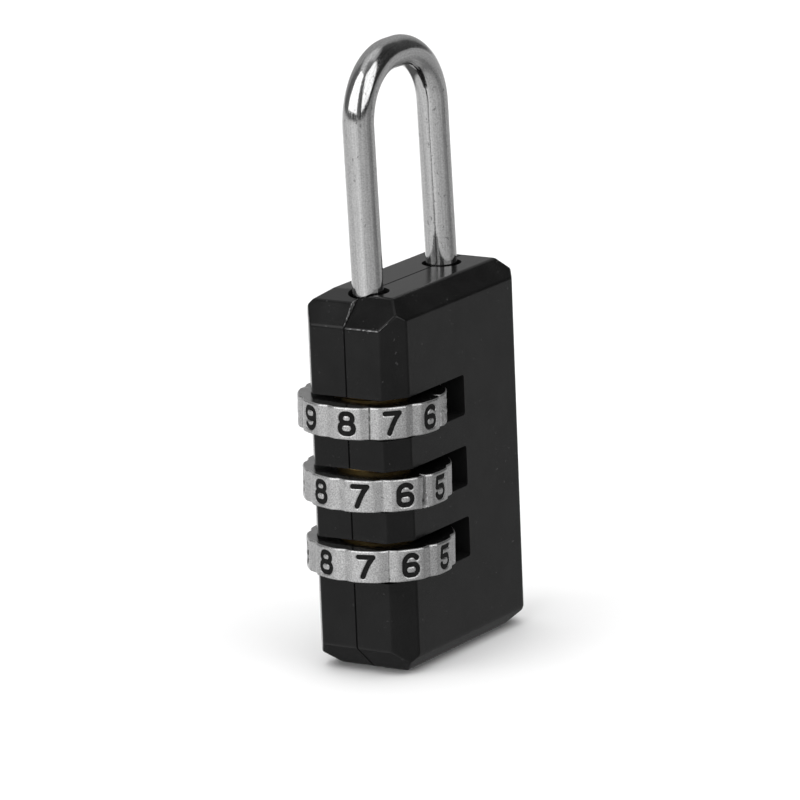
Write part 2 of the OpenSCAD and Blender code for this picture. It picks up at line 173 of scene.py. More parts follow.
def room():
    """What the polished parts mirror besides the two softboxes: a grey room above a pale table.

    Azimuths run from behind the lock (0 and 1) by its left (0.25), its front (0.5) and its right (0.75).
    Heights are the Z of the direction looked in, from -1 straight down to 1 straight up."""
    world = bpy.data.worlds.new("room")
    SCENE.world = world
    world.use_nodes = True
    tree = world.node_tree
    link = tree.links.new

    def calculate(operation, *values):
        node = tree.nodes.new("ShaderNodeMath")
        node.operation = operation
        for socket, value in zip(node.inputs, values):
            if isinstance(value, bpy.types.NodeSocket):
                link(value, socket)
            else:
                socket.default_value = value
        return node.outputs[0]

    parts = tree.nodes.new("ShaderNodeSeparateXYZ")
    link(tree.nodes.new("ShaderNodeTexCoord").outputs["Generated"], parts.inputs[0])
    x, y, z = parts.outputs
    to_front = calculate("ADD", calculate("MULTIPLY", x, -FRONT_X), calculate("MULTIPLY", y, -FRONT_Y))
    to_right = calculate("ADD", calculate("MULTIPLY", x, FRONT_Y), calculate("MULTIPLY", y, -FRONT_X))
    turn = calculate("DIVIDE", calculate("ARCTAN2", to_right, to_front), 2 * math.pi)
    turn = calculate("ADD", turn, 0.5)
    wall = ramp(tree, turn, (
        (0, 0.33), (0.1, 0.32), (0.14, 0.27), (0.17, 0.14), (0.2, 0.12), (0.25, 0.14), (0.38, 0.11),
        (0.46, 0.08), (0.5, 0.16), (0.55, 0.05), (0.63, 0.045), (0.72, 0.035), (0.78, 0.03), (0.87, 0.07),
        (0.92, 0.26), (0.95, 0.33), (1, 0.33)))
    table = ramp(tree, turn, (
        (0, 0.95), (0.05, 1.1), (0.09, 0.75), (0.13, 0.58), (0.25, 0.56), (0.36, 0.68), (0.43, 0.76),
        (0.47, 0.65), (0.5, 0.52), (0.56, 0.46), (0.66, 0.38), (0.71, 0.25), (0.75, 0.2), (0.83, 0.38),
        (0.9, 0.42), (1, 0.75)))
    deep = ramp(tree, turn, (
        (0, 0.1), (0.1, 0.1), (0.16, 0.56), (0.36, 0.68), (0.43, 0.76), (0.5, 0.52), (0.66, 0.38),
        (0.75, 0.2), (0.86, 0.3), (0.92, 0.12), (1, 0.1)))
    top = ramp(tree, turn, (
        (0, 0.62), (0.25, 0.6), (0.44, 0.4), (0.5, 0.17), (0.66, 0.17), (0.72, 0.45), (1, 0.62)))

    def blend(low_z, high_z, under, over):
        """The colour under below low_z, and over above high_z."""
        part = tree.nodes.new("ShaderNodeMapRange")
        part.interpolation_type = "SMOOTHSTEP"
        part.inputs["From Min"].default_value = low_z
        part.inputs["From Max"].default_value = high_z
        link(z, part.inputs["Value"])
        mixed = tree.nodes.new("ShaderNodeMix")
        mixed.data_type = "RGBA"
        link(part.outputs[0], mixed.inputs["Factor"])
        link(under, mixed.inputs["A"])
        link(over, mixed.inputs["B"])
        return mixed.outputs["Result"]

    level = blend(-0.5, -0.32, deep, table)
    level = blend(-0.02, 0.08, level, wall)
    level = blend(0.83, 0.95, level, top)
    link(level, tree.nodes["Background"].inputs["Color"])


def softbox(name, azimuth, half_width, low, high, radiance):
    """An upright light panel a metre away, as seen from the lock: all four measures are angles in degrees.

    Azimuth is from the camera's side, positive to the picture's right."""
    lock_middle = 0.05
    a = math.radians(azimuth)
    flat = Vector((-FRONT_X, -FRONT_Y, 0)) * math.cos(a) + Vector((FRONT_Y, -FRONT_X, 0)) * math.sin(a)
    bottom, top = math.tan(math.radians(low)), math.tan(math.radians(high))
    size = (2 * math.tan(math.radians(half_width)), top - bottom)
    place = flat + Vector((0, 0, (bottom + top) / 2 + lock_middle))
    area_light(name, place, (0, 0, place.z), size, radiance * math.pi * size[0] * size[1])


def studio():
    SCENE.view_settings.view_transform = "Standard"
    room()
    softbox("left_softbox", -46, 35, 13, 69, 1.45)
    softbox("right_softbox", 48, 28, 11, 62, 1.3)
    fill = area_light("floor_fill", (0, 0, 1.5), (0, 0, 0), (2.5, 2.5), 34)
    fill.visible_glossy = False


# ---- Materials ----

class Nodes:
    """A material's node tree, with short calls for the nodes used here."""

    def __init__(self, name):
        self.material = bpy.data.materials.new(name)
        self.material.use_nodes = True
        self.tree = self.material.node_tree
        self.shader = self.tree.nodes["Principled BSDF"]

    def add(self, kind, **values):
        node = self.tree.nodes.new(kind)
        for key, value in values.items():
            setattr(node, key, value)
        return node

    def link(self, out, into):
        self.tree.links.new(out, into)

    def put(self, socket, value):
        if isinstance(value, bpy.types.NodeSocket):
            self.link(value, socket)
        else:
            socket.default_value = value

    def math(self, operation, a, b):
        node = self.add("ShaderNodeMath", operation=operation)
        self.put(node.inputs[0], a)
        self.put(node.inputs[1], b)
        return node.outputs[0]

    def spread(self, value, low, high, to_low, to_high):
        node = self.add("ShaderNodeMapRange")
        self.put(node.inputs["Value"], value)
        for key, level in (("From Min", low), ("From Max", high), ("To Min", to_low), ("To Max", to_high)):
            node.inputs[key].default_value = level
        return node.outputs[0]

    def mix(self, factor, a, b):
        node = self.add("ShaderNodeMix", data_type="RGBA")
        self.put(node.inputs["Factor"], factor)
        self.put(node.inputs["A"], a)
        self.put(node.inputs["B"], b)
        return node.outputs["Result"]

    def place(self, scale=(1, 1, 1), attribute=None):
        if attribute:
            source = self.add("ShaderNodeAttribute", attribute_name=attribute).outputs["Vector"]
        else:
            source = self.add("ShaderNodeTexCoord").outputs["Object"]
        node = self.add("ShaderNodeMapping")
        self.link(source, node.inputs["Vector"])
        node.inputs["Scale"].default_value = scale
        return node.outputs["Vector"]

    def noise(self, vector, scale, detail, roughness=0.5):
        node = self.add("ShaderNodeTexNoise")
        self.link(vector, node.inputs["Vector"])
        for key, level in (("Scale", scale), ("Detail", detail), ("Roughness", roughness)):
            node.inputs[key].default_value = level
        return node.outputs["Fac"]

    def attribute(self, name):
        return self.add("ShaderNodeAttribute", attribute_name=name).outputs["Fac"]

    def bump(self, height, distance, strength):
        node = self.add("ShaderNodeBump")
        node.inputs["Strength"].default_value = strength
        node.inputs["Distance"].default_value = distance
        self.link(height, node.inputs["Height"])
        return node.outputs["Normal"]

    def near(self, vector, start, end, reach, fade):
        """1 within reach of the line from start to end, falling to 0 over fade."""
        length, direction = (end - start).length, (end - start).normalized()
        from_start = self.vector("SUBTRACT", vector, tuple(start))
        along = self.add("ShaderNodeVectorMath", operation="DOT_PRODUCT")
        self.link(from_start, along.inputs[0])
        along.inputs[1].default_value = direction
        on_line = self.math("MINIMUM", self.math("MAXIMUM", along.outputs["Value"], 0), length)
        foot = self.add("ShaderNodeVectorMath", operation="SCALE")
        foot.inputs[0].default_value = direction
        self.link(on_line, foot.inputs["Scale"])
        apart = self.add("ShaderNodeVectorMath", operation="DISTANCE")
        self.link(from_start, apart.inputs[0])
        self.link(foot.outputs[0], apart.inputs[1])
        return self.spread(apart.outputs["Value"], reach, reach + fade, 1, 0)

    def vector(self, operation, a, b):
        node = self.add("ShaderNodeVectorMath", operation=operation)
        self.put(node.inputs[0], a)
        self.put(node.inputs[1], b)
        return node.outputs[0]

    def set(self, **sockets):
        for key, value in sockets.items():
            self.put(self.shader.inputs[key.replace("_", " ")], value)


def grey(value):
    return (value, value, value, 1)


def floor_material():
    n = Nodes("floor")
    spots = n.noise(n.place(), 40, 3)
    n.set(Base_Color=n.mix(spots, grey(0.86), grey(0.9)), Roughness=0.8, Specular_IOR_Level=0.1)
    return n.material


def paint_material():
    """Satin black paint, rubbed through to the metal along some edges."""
    reach, fade = 0.07 * MM, 0.05 * MM
    n = Nodes("black_paint")
    place = n.place()
    blotch = n.noise(place, 260, 3, 0.55)
    grain = n.noise(place, 5200, 2, 0.6)
    peel = n.noise(place, 1100, 2, 0.5)
    speck = n.spread(n.noise(place, 2600, 1, 0.4), 0.74, 0.77, 0, 0.12)
    broken = n.noise(place, 2200, 3, 0.7)
    worn = 0.0
    for start, end, strength in worn_edges():
        close = n.math("MULTIPLY", n.near(place, start, end, reach, fade), strength)
        worn = n.math("MAXIMUM", close, worn)
    rub = n.spread(n.math("ADD", broken, n.math("MULTIPLY", worn, 0.55)), 0.96, 1.1, 0, 1)
    paint = n.mix(n.spread(blotch, 0.3, 0.7, 0, 1), grey(0.0035), grey(0.0075))
    n.set(
        Base_Color=n.mix(rub, n.mix(speck, paint, grey(0.2)), grey(0.22)),
        Metallic=n.math("MULTIPLY", rub, 0.6),
        Roughness=n.spread(n.math("ADD", blotch, n.math("MULTIPLY", grain, 0.3)), 0.3, 1.0, 0.14, 0.25),
        Specular_IOR_Level=0.3,
    )
    height = n.math("ADD", n.math("MULTIPLY", peel, 0.8), n.math("MULTIPLY", grain, 0.1))
    n.set(Normal=n.bump(height, 0.005 * MM, 0.5))
    return n.material


def worn_material():
    """The step at the seam, where the paint is chipped and rubbed off."""
    n = Nodes("worn_step")
    place = n.place()
    chips = n.spread(n.noise(place, 3200, 3, 0.7), 0.46, 0.62, 0, 1)
    n.set(
        Base_Color=n.mix(chips, grey(0.012), grey(0.3)),
        Metallic=n.spread(chips, 0, 1, 0, 0.5),
        Roughness=n.spread(chips, 0, 1, 0.6, 0.4),
        Normal=n.bump(chips, 0.02 * MM, 0.6),
    )
    return n.material


def inner_material():
    """Dull paint inside the windows and holes, where nothing polishes it."""
    n = Nodes("inner_black")
    place = n.place()
    grain = n.noise(place, 3200, 3, 0.6)
    n.set(
        Base_Color=n.mix(grain, grey(0.003), grey(0.010)),
        Roughness=n.spread(grain, 0.3, 0.7, 0.6, 0.85),
        Normal=n.bump(grain, 0.01 * MM, 0.5),
        Specular_IOR_Level=0.12,
    )
    return n.material


def chrome_material():
    """Chromed wire, with fine lines, dull patches and pits drawn out along it."""
    n = Nodes("chrome")
    streak = n.noise(n.place((1, 1, 0.03), "wire"), 5200, 3, 0.65)
    scratch = n.noise(n.place((1, 1, 0.015), "wire"), 11000, 2, 0.6)
    broad = n.noise(n.place((1, 1, 0.12), "wire"), 620, 2, 0.5)
    spots = n.noise(n.place((1, 1, 0.6), "wire"), 2600, 3, 0.6)
    pits = n.math("MULTIPLY", n.spread(spots, 0.62, 0.68, 0, 1), n.spread(broad, 0.45, 0.6, 0, 1))
    dull = n.mix(n.spread(streak, 0.3, 0.7, 0, 1), grey(0.64), grey(0.84))
    mottle = n.noise(n.place(), 6000, 2, 0.6)
    dull = n.vector("MULTIPLY", dull, n.spread(mottle, 0.3, 0.7, 0.84, 1.12))
    lined = n.mix(n.spread(scratch, 0.62, 0.72, 0, 0.35), dull, grey(0.3))
    n.set(
        Base_Color=n.mix(n.math("MULTIPLY", pits, 0.6), lined, grey(0.12)),
        Metallic=1.0,
        Roughness=n.spread(n.math("ADD", streak, mottle), 0.7, 1.3, 0.05, 0.2),
    )
    height = n.math("ADD", n.math("MULTIPLY", streak, 0.6), broad)
    height = n.math("ADD", height, n.math("MULTIPLY", mottle, 0.25))
    height = n.math("SUBTRACT", height, n.math("MULTIPLY", pits, 0.8))
    n.set(Normal=n.bump(height, 0.012 * MM, 0.5))
    return n.material


def dial_material():
    """Satin nickel, black where the numerals are sunk, and darker in broken patches along some grooves, in
    the cracks and in the pits.
    """
    n = Nodes("satin_dial")
    place = n.place()
    grain = n.noise(place, 7500, 3, 0.7)
    patch = n.noise(place, 900, 3, 0.6)
    sunk = n.attribute("sunk")
    metal = n.mix(n.spread(patch, 0.3, 0.7, 0, 1), grey(0.68), grey(0.8))
    salt = n.spread(n.noise(place, 8000, 1, 0.5), 0.3, 0.7, 0.72, 1.2)
    broken = n.spread(n.noise(place, 1500, 2, 0.6), 0.3, 0.45, 0.4, 1)
    # Darker along some grooves, in the cracks and in the pits, broken up by noise
    dark = n.math("MAXIMUM", sunk, n.math("MULTIPLY", n.attribute("dark_marks"), broken))
    n.set(
        Base_Color=n.mix(n.math("MULTIPLY", dark, 0.93), n.vector("MULTIPLY", metal, salt), grey(0.03)),
        Metallic=n.spread(dark, 0, 1, 1, 0.2),
        Roughness=n.spread(grain, 0.3, 0.7, 0.3, 0.46),
    )
    height = n.math("ADD", n.math("MULTIPLY", grain, 0.7), n.math("MULTIPLY", patch, 0.8))
    n.set(Normal=n.bump(height, 0.02 * MM, 0.8))
    return n.material


def dial_face_material():
    """The flat faces of a dial and its bore: turned smoother than the rim, and given a darker grey than the
    rim as painted shade for the faces that sit in the windows under the shell.
    """
    n = Nodes("turned_dial_face_painted_shade")
    place = n.place()
    rings = n.noise(place, 2600, 3, 0.6)
    patch = n.noise(place, 700, 3, 0.6)
    n.set(
        # The darker grey than the rim's is painted shade
        Base_Color=n.mix(n.spread(patch, 0.3, 0.7, 0, 1), grey(0.42), grey(0.55)),
        Metallic=1.0,
        Roughness=n.spread(rings, 0.3, 0.7, 0.12, 0.24),
        Normal=n.bump(rings, 0.006 * MM, 0.5),
    )
    return n.material


def ink_material():
    """The dull black paint in the numerals."""
    n = Nodes("black_ink")
    place = n.place()
    grain = n.noise(place, 4200, 3, 0.6)
    n.set(
        Base_Color=n.mix(n.spread(grain, 0.35, 0.75, 0, 1), grey(0.004), grey(0.014)),
        Roughness=n.spread(grain, 0.3, 0.7, 0.5, 0.7),
        Normal=n.bump(grain, 0.01 * MM, 0.5),
        Specular_IOR_Level=0.16,
    )
    return n.material


def turned_material(name, dark, light, scale):
    """Turned or drawn metal, with fine rings round the axis."""
    n = Nodes(name)
    rings = n.noise(n.place((0.05, 0.05, 1)), scale, 3, 0.6)
    patch = n.noise(n.place(), 700, 3, 0.6)
    n.set(
        Base_Color=n.mix(n.spread(patch, 0.3, 0.7, 0, 1), dark, light),
        Metallic=1.0,
        Roughness=n.spread(rings, 0.3, 0.7, 0.22, 0.42),
        Normal=n.bump(rings, 0.01 * MM, 0.5),
    )
    return n.material


# ---- Mesh helpers ----

CUT_DIST, SAME_PLACE = 1e-8, 1e-7


def to_mesh(bm, name):
    mesh = bpy.data.meshes.new(name)
    bm.to_mesh(mesh)
    bm.free()
    return mesh


def tube(bm, rings):
    """Faces from ring to ring of points, and over the two ends."""
    for here, there in zip(rings, rings[1:]):
        for k in range(len(here)):
            j = (k + 1) % len(here)
            bm.faces.new((here[k], here[j], there[j], there[k]))
    bm.faces.new(rings[0])
    bm.faces.new(reversed(rings[-1]))
    bmesh.ops.recalc_face_normals(bm, faces=bm.faces)


def clip(bm, point, normal):
    """Keeps the side of a closed mesh that the normal points away from, and closes the cut."""
    geometry = bm.verts[:] + bm.edges[:] + bm.faces[:]
    cut = bmesh.ops.bisect_plane(
        bm, geom=geometry, plane_co=point, plane_no=normal, clear_outer=True, dist=CUT_DIST)
    edges = [e for e in cut["geom_cut"] if isinstance(e, bmesh.types.BMEdge)]
    if edges:
        bmesh.ops.contextual_create(bm, geom=edges)


def evaluated(obj):
    graph = bpy.context.evaluated_depsgraph_get()
    return bpy.data.meshes.new_from_object(obj.evaluated_get(graph))


def carve(obj, cutters, operation="DIFFERENCE"):
    """Cuts closed meshes out of obj, or joins them to it, one after another."""
    for mesh in cutters:
        tool = new_object("cutter", mesh)
        change = obj.modifiers.new("cut", "BOOLEAN")
        change.operation = operation
        change.solver = "EXACT"
        change.object = tool
        bpy.context.view_layer.update()
        done = evaluated(obj)
        obj.modifiers.clear()
        obj.data = done
        bpy.data.objects.remove(tool)


def in_order(mesh):
    """The same mesh with its points and faces sorted: a boolean's order varies from run to run."""
    order = sorted(range(len(mesh.vertices)), key=lambda i: mesh.vertices[i].co[:])
    number = {old: new for new, old in enumerate(order)}
    faces = []
    for polygon in mesh.polygons:
        corners = [number[i] for i in polygon.vertices]
        first = corners.index(min(corners))
        faces.append(corners[first:] + corners[:first])
    done = bpy.data.meshes.new(mesh.name)
    done.from_pydata([mesh.vertices[i].co[:] for i in order], [], sorted(faces))
    return done


def prism(outline, low, high, axis):
    """A closed mesh from an outline in XZ (axis Y) or XY (axis Z), between low and high on that axis."""
    bm = bmesh.new()
    at = (lambda p, h: (p[0], h, p[1])) if axis == "Y" else (lambda p, h: (p[0], p[1], h))
    ends = [[bm.verts.new(at(p, h)) for p in outline] for h in (low, high)]
    bm.faces.new(ends[0])
    bm.faces.new(reversed(ends[1]))
    for i in range(len(outline)):
        j = (i + 1) % len(outline)
        bm.faces.new((ends[0][j], ends[0][i], ends[1][i], ends[1][j]))
    bmesh.ops.recalc_face_normals(bm, faces=bm.faces)
    return to_mesh(bm, "prism")


def circle(x, y, r, count=96, start=0.0, turn=2 * math.pi):
    return [(x + r * math.cos(start + turn * k / count), y + r * math.sin(start + turn * k / count))
            for k in range(count)]


def revolved(profile, x, count=96):
    """A closed mesh from a closed (radius, height) outline turned about the vertical axis at x."""
    bm = bmesh.new()
    rings = []
    for k in range(count):
        a = 2 * math.pi * k / count
        rings.append([bm.verts.new((x + r * math.cos(a), r * math.sin(a), z)) for r, z in profile])
    for k in range(count):
        here, there = rings[k], rings[(k + 1) % count]
        for i in range(len(profile)):
            j = (i + 1) % len(profile)
            bm.faces.new((here[i], there[i], there[j], here[j]))
    bmesh.ops.remove_doubles(bm, verts=bm.verts, dist=SAME_PLACE)
    bmesh.ops.recalc_face_normals(bm, faces=bm.faces)
    return to_mesh(bm, "revolved")


def finish_shading(obj, angle=math.radians(38)):
    """Smooth shading that keeps the large flat faces flat."""
    for polygon in obj.data.polygons:
        polygon.use_smooth = True
    obj.data.set_sharp_from_angle(angle=angle)
    change = obj.modifiers.new("normals", "WEIGHTED_NORMAL")
    change.keep_sharp = True
    change.weight = 80


# ---- Half shells ----

def half_planes(side):
    """Planes (point, outward normal) that bound a half shell: side -1 is the front, 1 the rear."""
    y = side * HALF_T
    planes = [
        ((0, 0, 0), (0, 0, -1)), ((0, 0, BODY_H), (0, 0, 1)),
        ((-HALF_W, 0, 0), (-1, 0, 0)), ((HALF_W, 0, 0), (1, 0, 0)),
        ((0, y, 0), (0, side, 0)), ((0, side * SEAM, 0), (0, -side, 0)),
    ]
    for s in (-1, 1):
        planes.append(((s * HALF_W, y - side * FACET_Y, 0), (s * FACET_Y, side * FACET_X, 0)))
        planes.append(((s * HALF_W, 0, NARROW_DROP), (s * NARROW_DROP, 0, -NARROW_INSET)))
    planes.append(((HALF_W, 0, BODY_H - FAR_DROP), (FAR_DROP, 0, FAR_INSET)))
    planes.append(((0, y, BROAD_DROP), (0, side * BROAD_DROP, -BROAD_INSET)))
    if side < 0:
        planes.append(((-HALF_W, 0, BODY_H - NARROW_DROP), (-NARROW_DROP, 0, NARROW_INSET)))
        planes.append(((0, y, BODY_H - BROAD_DROP), (0, side * BROAD_DROP, BROAD_INSET)))
    else:
        corner = (-HALF_W + REAR_CORNER, 0, BODY_H - REAR_SLOPE_DROP)
        rise = NARROW_DROP - REAR_SLOPE_DROP
        planes.append((corner, (-rise, 0, REAR_CORNER)))
        run = REAR_SLOPE_X - corner[0]
        planes.append((corner, (-REAR_SLOPE_DROP, 0, run)))
        planes.append(((0, y, BODY_H - BROAD_DROP), (0, side * BROAD_DROP, REAR_INSET)))
    return planes


def crossing(*planes):
    """The point where three planes (point, normal) meet."""
    normals = np.array([normal for point, normal in planes], dtype=float)
    offsets = [float(np.dot(point, normal)) for point, normal in planes]
    return Vector(np.linalg.solve(normals, offsets))


def worn_edges():
    """Edges and short scrapes with the paint rubbed off: their two ends, and how much is gone."""
    outer = ((-HALF_W, 0, 0), (-1, 0, 0))
    edges = []
    for side in (-1, 1):
        seam = ((0, side * SEAM, 0), (0, side, 0))
        face = ((0, side * HALF_T, 0), (0, side, 0))
        facet = ((-HALF_W, side * (HALF_T - FACET_Y), 0), (-FACET_Y, side * FACET_X, 0))
        end = ((-HALF_W, 0, BODY_H - NARROW_DROP), (-NARROW_DROP, 0, NARROW_INSET))
        if side > 0:
            end = (end[0], (REAR_SLOPE_DROP - NARROW_DROP, 0, REAR_CORNER))
        low, middle = crossing(outer, end, seam), crossing(outer, end, facet)
        high = crossing(facet, end, face)
        edges += [(low, middle, 1.0 if side < 0 else 0.62), (middle, middle.lerp(high, 0.9), 0.95)]
    corner = Vector((HALF_W - FACET_X, -HALF_T, BODY_H - BROAD_DROP))
    edges.append((corner + Vector((-0.7, 0, -0.75)) * MM, corner + Vector((-0.1, 0, -0.5)) * MM, 0.7))
    edges.append((Vector((-HALF_W, -0.35 * MM, 8 * MM)), Vector((-HALF_W, -0.3 * MM, 2.6 * MM)), 0.55))
    edges.append((Vector((-HALF_W, SEAM, 33 * MM)), Vector((-HALF_W, SEAM, 31.5 * MM)), 0.8))
    return edges


def window_outline(z):
    """A window seen from the front, with rounded inner corners."""
    half, end, r = WINDOW_H / 2, WINDOW_END, WINDOW_CORNER
    low = circle(end - r, z - half + r, r, 8, -math.pi / 2, math.pi / 2)
    high = circle(end - r, z + half - r, r, 8, 0, math.pi / 2)
    return [(-2 * HALF_W, z - half)] + low + [(end, z - half + r)] + high + [
        (end - r, z + half), (-2 * HALF_W, z + half)]


def shell_cutters():
    far = 2 * HALF_T
    cutters = [prism(window_outline(z - DIAL_RISE), -far, far, "Y") for z in DIAL_Z.values()]
    high = DIAL_Z["top"] - DIAL_RISE + BORE_RISE
    cutters.append(prism(circle(AXIS_X, 0, BORE_R), BORE_FLOOR, high, "Z"))
    cutters.append(prism(circle(AXIS_X, 0, HOLE_R), high - 1 * MM, 2 * BODY_H, "Z"))
    cutters.append(prism(circle(TOE_X, 0, HOLE_R), BODY_H - TOE_HOLE, 2 * BODY_H, "Z"))
    cutters.append(prism(circle(AXIS_X, 0, FIN_ROOM_R), high - 0.1 * MM, high + FIN_ROOM_H, "Z"))
    for z in DIAL_Z.values():
        foot = z - DIAL_RISE + LUG_ROOM_Z
        cutters.append(prism(circle(AXIS_X, 0, LUG_ROOM_R), foot, foot + LUG_ROOM_H, "Z"))
    # The countersinks of the two leg holes
    inset = 0.02 * MM
    for x, wide, deep in ((AXIS_X, 0.24 * MM, 0.4 * MM), (TOE_X, 0.12 * MM, 0.25 * MM)):
        rim = [(0, BODY_H - deep), (HOLE_R - inset, BODY_H - deep), (HOLE_R + wide, BODY_H),
               (HOLE_R + wide, 2 * BODY_H), (0, 2 * BODY_H)]
        cutters.append(revolved(rim, x))
    return cutters


def tongue(room):
    """The outline of the lip on the rear half that closes the seam, with room round it."""
    x1, x2, z1, z2 = TONGUE_X[0] - room, TONGUE_X[1] + room, TONGUE_Z[0] - room, TONGUE_Z[1] + room
    return [(x1, z1), (x2, z1), (x2, z2), (x1, z2)]


def step_plane():
    """The front half's end chamfer (point, normal). Above it the rear half's seam face is a bare step."""
    return Vector((-HALF_W, 0, BODY_H - NARROW_DROP)), Vector((-NARROW_DROP, 0, NARROW_INSET)).normalized()


def split_step(bm):
    """Cuts the rear half's seam face where it stands above the front half's chamfer, as its own face."""
    seam = [f for f in bm.faces if f.normal.y < -0.9 and abs(f.calc_center_median().y - SEAM) < 1e-6]
    geometry = seam + [e for f in seam for e in f.edges] + [v for f in seam for v in f.verts]
    corner, normal = step_plane()
    geometry = list(dict.fromkeys(geometry))
    bmesh.ops.bisect_plane(bm, geom=geometry, plane_co=corner, plane_no=normal, dist=CUT_DIST)


def on_seam(edge):
    return all(abs(abs(v.co.y) - SEAM) < SAME_PLACE for v in edge.verts)


def half_solid(name, side):
    """A half shell without its windows and holes, with its edges rounded."""
    bm = bmesh.new()
    bmesh.ops.create_cube(bm, size=0.2)
    for point, normal in half_planes(side):
        clip(bm, point, Vector(normal).normalized())
    bmesh.ops.dissolve_limit(bm, angle_limit=0.001, verts=bm.verts, edges=bm.edges)
    outer = [e for e in bm.edges if not on_seam(e)]
    bmesh.ops.bevel(bm, geom=outer, offset=EDGE_ROUND, offset_type="OFFSET", segments=4, profile=0.5,
                    affect="EDGES", clamp_overlap=True)
    seam = [e for e in bm.edges if on_seam(e) and len(e.link_faces) == 2]
    bmesh.ops.bevel(bm, geom=seam, offset=SEAM_BEVEL[side], offset_type="OFFSET", segments=1, profile=0.5,
                    affect="EDGES", clamp_overlap=True)
    if side > 0:
        split_step(bm)
    return to_mesh(bm, name)


def shell_faces(obj, side):
    """Gives each face its material: paint outside (0), dull paint inside (1), or the worn step (2)."""
    planes = [(Vector(point), Vector(normal).normalized()) for point, normal in half_planes(side)]
    corner, step = step_plane()
    for polygon in obj.data.polygons:
        depth = min((point - polygon.center).dot(normal) for point, normal in planes)
        if side > 0 and polygon.normal.y < -0.5 and (polygon.center - corner).dot(step) > 0:
            polygon.material_index = 2
        elif depth > SKIN or polygon.normal.y * side < -0.3:
            polygon.material_index = 1


def half_shell(name, side, materials):
    """The front half shell (side -1) or the rear one (1)."""
    obj = new_object(name, half_solid(name, side))
    carve(obj, shell_cutters())
    if side < 0:
        carve(obj, [prism(tongue(TONGUE_ROOM), -TONGUE_Y - TONGUE_ROOM, HALF_T, "Y")])
    else:
        carve(obj, [prism(tongue(0), -TONGUE_Y, TONGUE_ROOT, "Y")], "UNION")
    obj.data = in_order(obj.data)
    for material in materials:
        obj.data.materials.append(material)
    shell_faces(obj, side)
    finish_shading(obj)
    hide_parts({-1: "front_shell", 1: "rear_shell"}[side])
    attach(obj, "housing")


# ---- Shackle ----

def lean(point):
    """The shackle stands a little askew in its holes: it leans towards the picture's left above the body."""
    rise = max(0.0, point.z - BODY_H)
    return point + LEAN * rise * Vector((-FRONT_Y, FRONT_X, 0))


def wire_path():
    """Points along the middle of the wire, and the direction of the wire at each."""
    straight, bend = 12, 48
    left, right = AXIS_X + BEND_R, TOE_X - BEND_R
    points = [(AXIS_X, z, 0, 1) for z in [WIRE_LOW.z, WIRE_LOW.z + TIP, BODY_H - 2 * MM]]
    points += [(AXIS_X, z, 0, 1) for z in np.linspace(BODY_H, BEND_Z, straight)]
    for middle, begin, first in ((left, 180, 1), (right, 90, 0)):
        for k in range(first, bend + 1):
            a = math.radians(begin - 90 * k / bend)
            out, up = math.cos(a), math.sin(a)
            points.append((middle + BEND_R * out, BEND_Z + BEND_R * up, up, -out))
        if middle == left:
            points.append(((left + right) / 2, BEND_Z + BEND_R, 1, 0))
    low = BODY_H - TOE_HOLE + TOE_GAP
    points += [(TOE_X, z, 0, -1) for z in list(np.linspace(BEND_Z, BODY_H, straight))[1:] + [low + TIP, low]]
    return [(Vector((x, 0, z)), Vector((fx, 0, fz))) for x, z, fx, fz in points]


def shackle(material):
    """The bent wire, with a place along the wire at each point for the material's lines."""
    around, across = 72, Vector((0, 1, 0))
    path = wire_path()
    bm = bmesh.new()
    layer = bm.verts.layers.float_vector.new("wire")
    length, rings = 0.0, []
    for i, (point, forward) in enumerate(path):
        if i:
            length += (point - path[i - 1][0]).length
        r = WIRE_R - TIP if i in (0, len(path) - 1) else WIRE_R
        out = across.cross(forward)
        rings.append([])
        for k in range(around):
            a = 2 * math.pi * k / around
            v = bm.verts.new(lean(point + r * (math.cos(a) * out + math.sin(a) * across)))
            v[layer] = (WIRE_R * math.cos(a), WIRE_R * math.sin(a), length)
            rings[-1].append(v)
    tube(bm, rings)
    obj = new_object("shackle_wire", to_mesh(bm, "shackle_wire"))
    obj.data.materials.append(material)
    finish_shading(obj, math.radians(30))
    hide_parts("shackle")
    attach(obj, "shackle")


def fins(material):
    """Three locking fins on the long leg, one at the foot of each sleeve, with rounded edges."""
    bm = bmesh.new()
    for name in DIALS:
        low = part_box("sleeve_" + name)[0].z + FIN_LOW
        place = Matrix.Translation((AXIS_X + FIN_MIDDLE, 0, low + FIN_SIZE[2] / 2))
        bmesh.ops.create_cube(bm, size=1, matrix=place @ Matrix.Diagonal((*FIN_SIZE, 1)))
    bmesh.ops.bevel(bm, geom=bm.edges[:], offset=0.1 * MM, offset_type="OFFSET", segments=3, profile=0.5,
                    affect="EDGES")
    obj = new_object("locking_fins", to_mesh(bm, "locking_fins"))
    obj.data.materials.append(material)
    finish_shading(obj)
    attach(obj, "shackle")


# ---- Springs ----

def coil(material):
    """The reset spring, of round wire with closed ends."""
    low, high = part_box("reset_spring")
    wire, turns, closed, per_turn, around = 0.6 * MM, 4, 0.75, 48, 16
    middle_r = (high.y - low.y) / 2 - wire / 2
    bm = bmesh.new()
    rings = []
    for k in range(turns * per_turn + 1):
        a = 2 * math.pi * k / per_turn
        rise = min(1, max(0, (k / per_turn - closed) / (turns - 2 * closed)))
        z = low.z + wire / 2 + (high.z - low.z - wire) * rise
        rings.append([])
        for j in range(around):
            b = 2 * math.pi * j / around
            out = middle_r + wire / 2 * math.cos(b)
            v = bm.verts.new((AXIS_X + out * math.cos(a), out * math.sin(a), z + wire / 2 * math.sin(b)))
            rings[-1].append(v)
    tube(bm, rings)
    obj = new_object("reset_coil", to_mesh(bm, "reset_coil"))
    obj.data.materials.append(material)
    for polygon in obj.data.polygons:
        polygon.use_smooth = len(polygon.vertices) == 4
    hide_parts("reset_spring")
    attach(obj, "housing")
    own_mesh(obj)


# ---- Dials ----

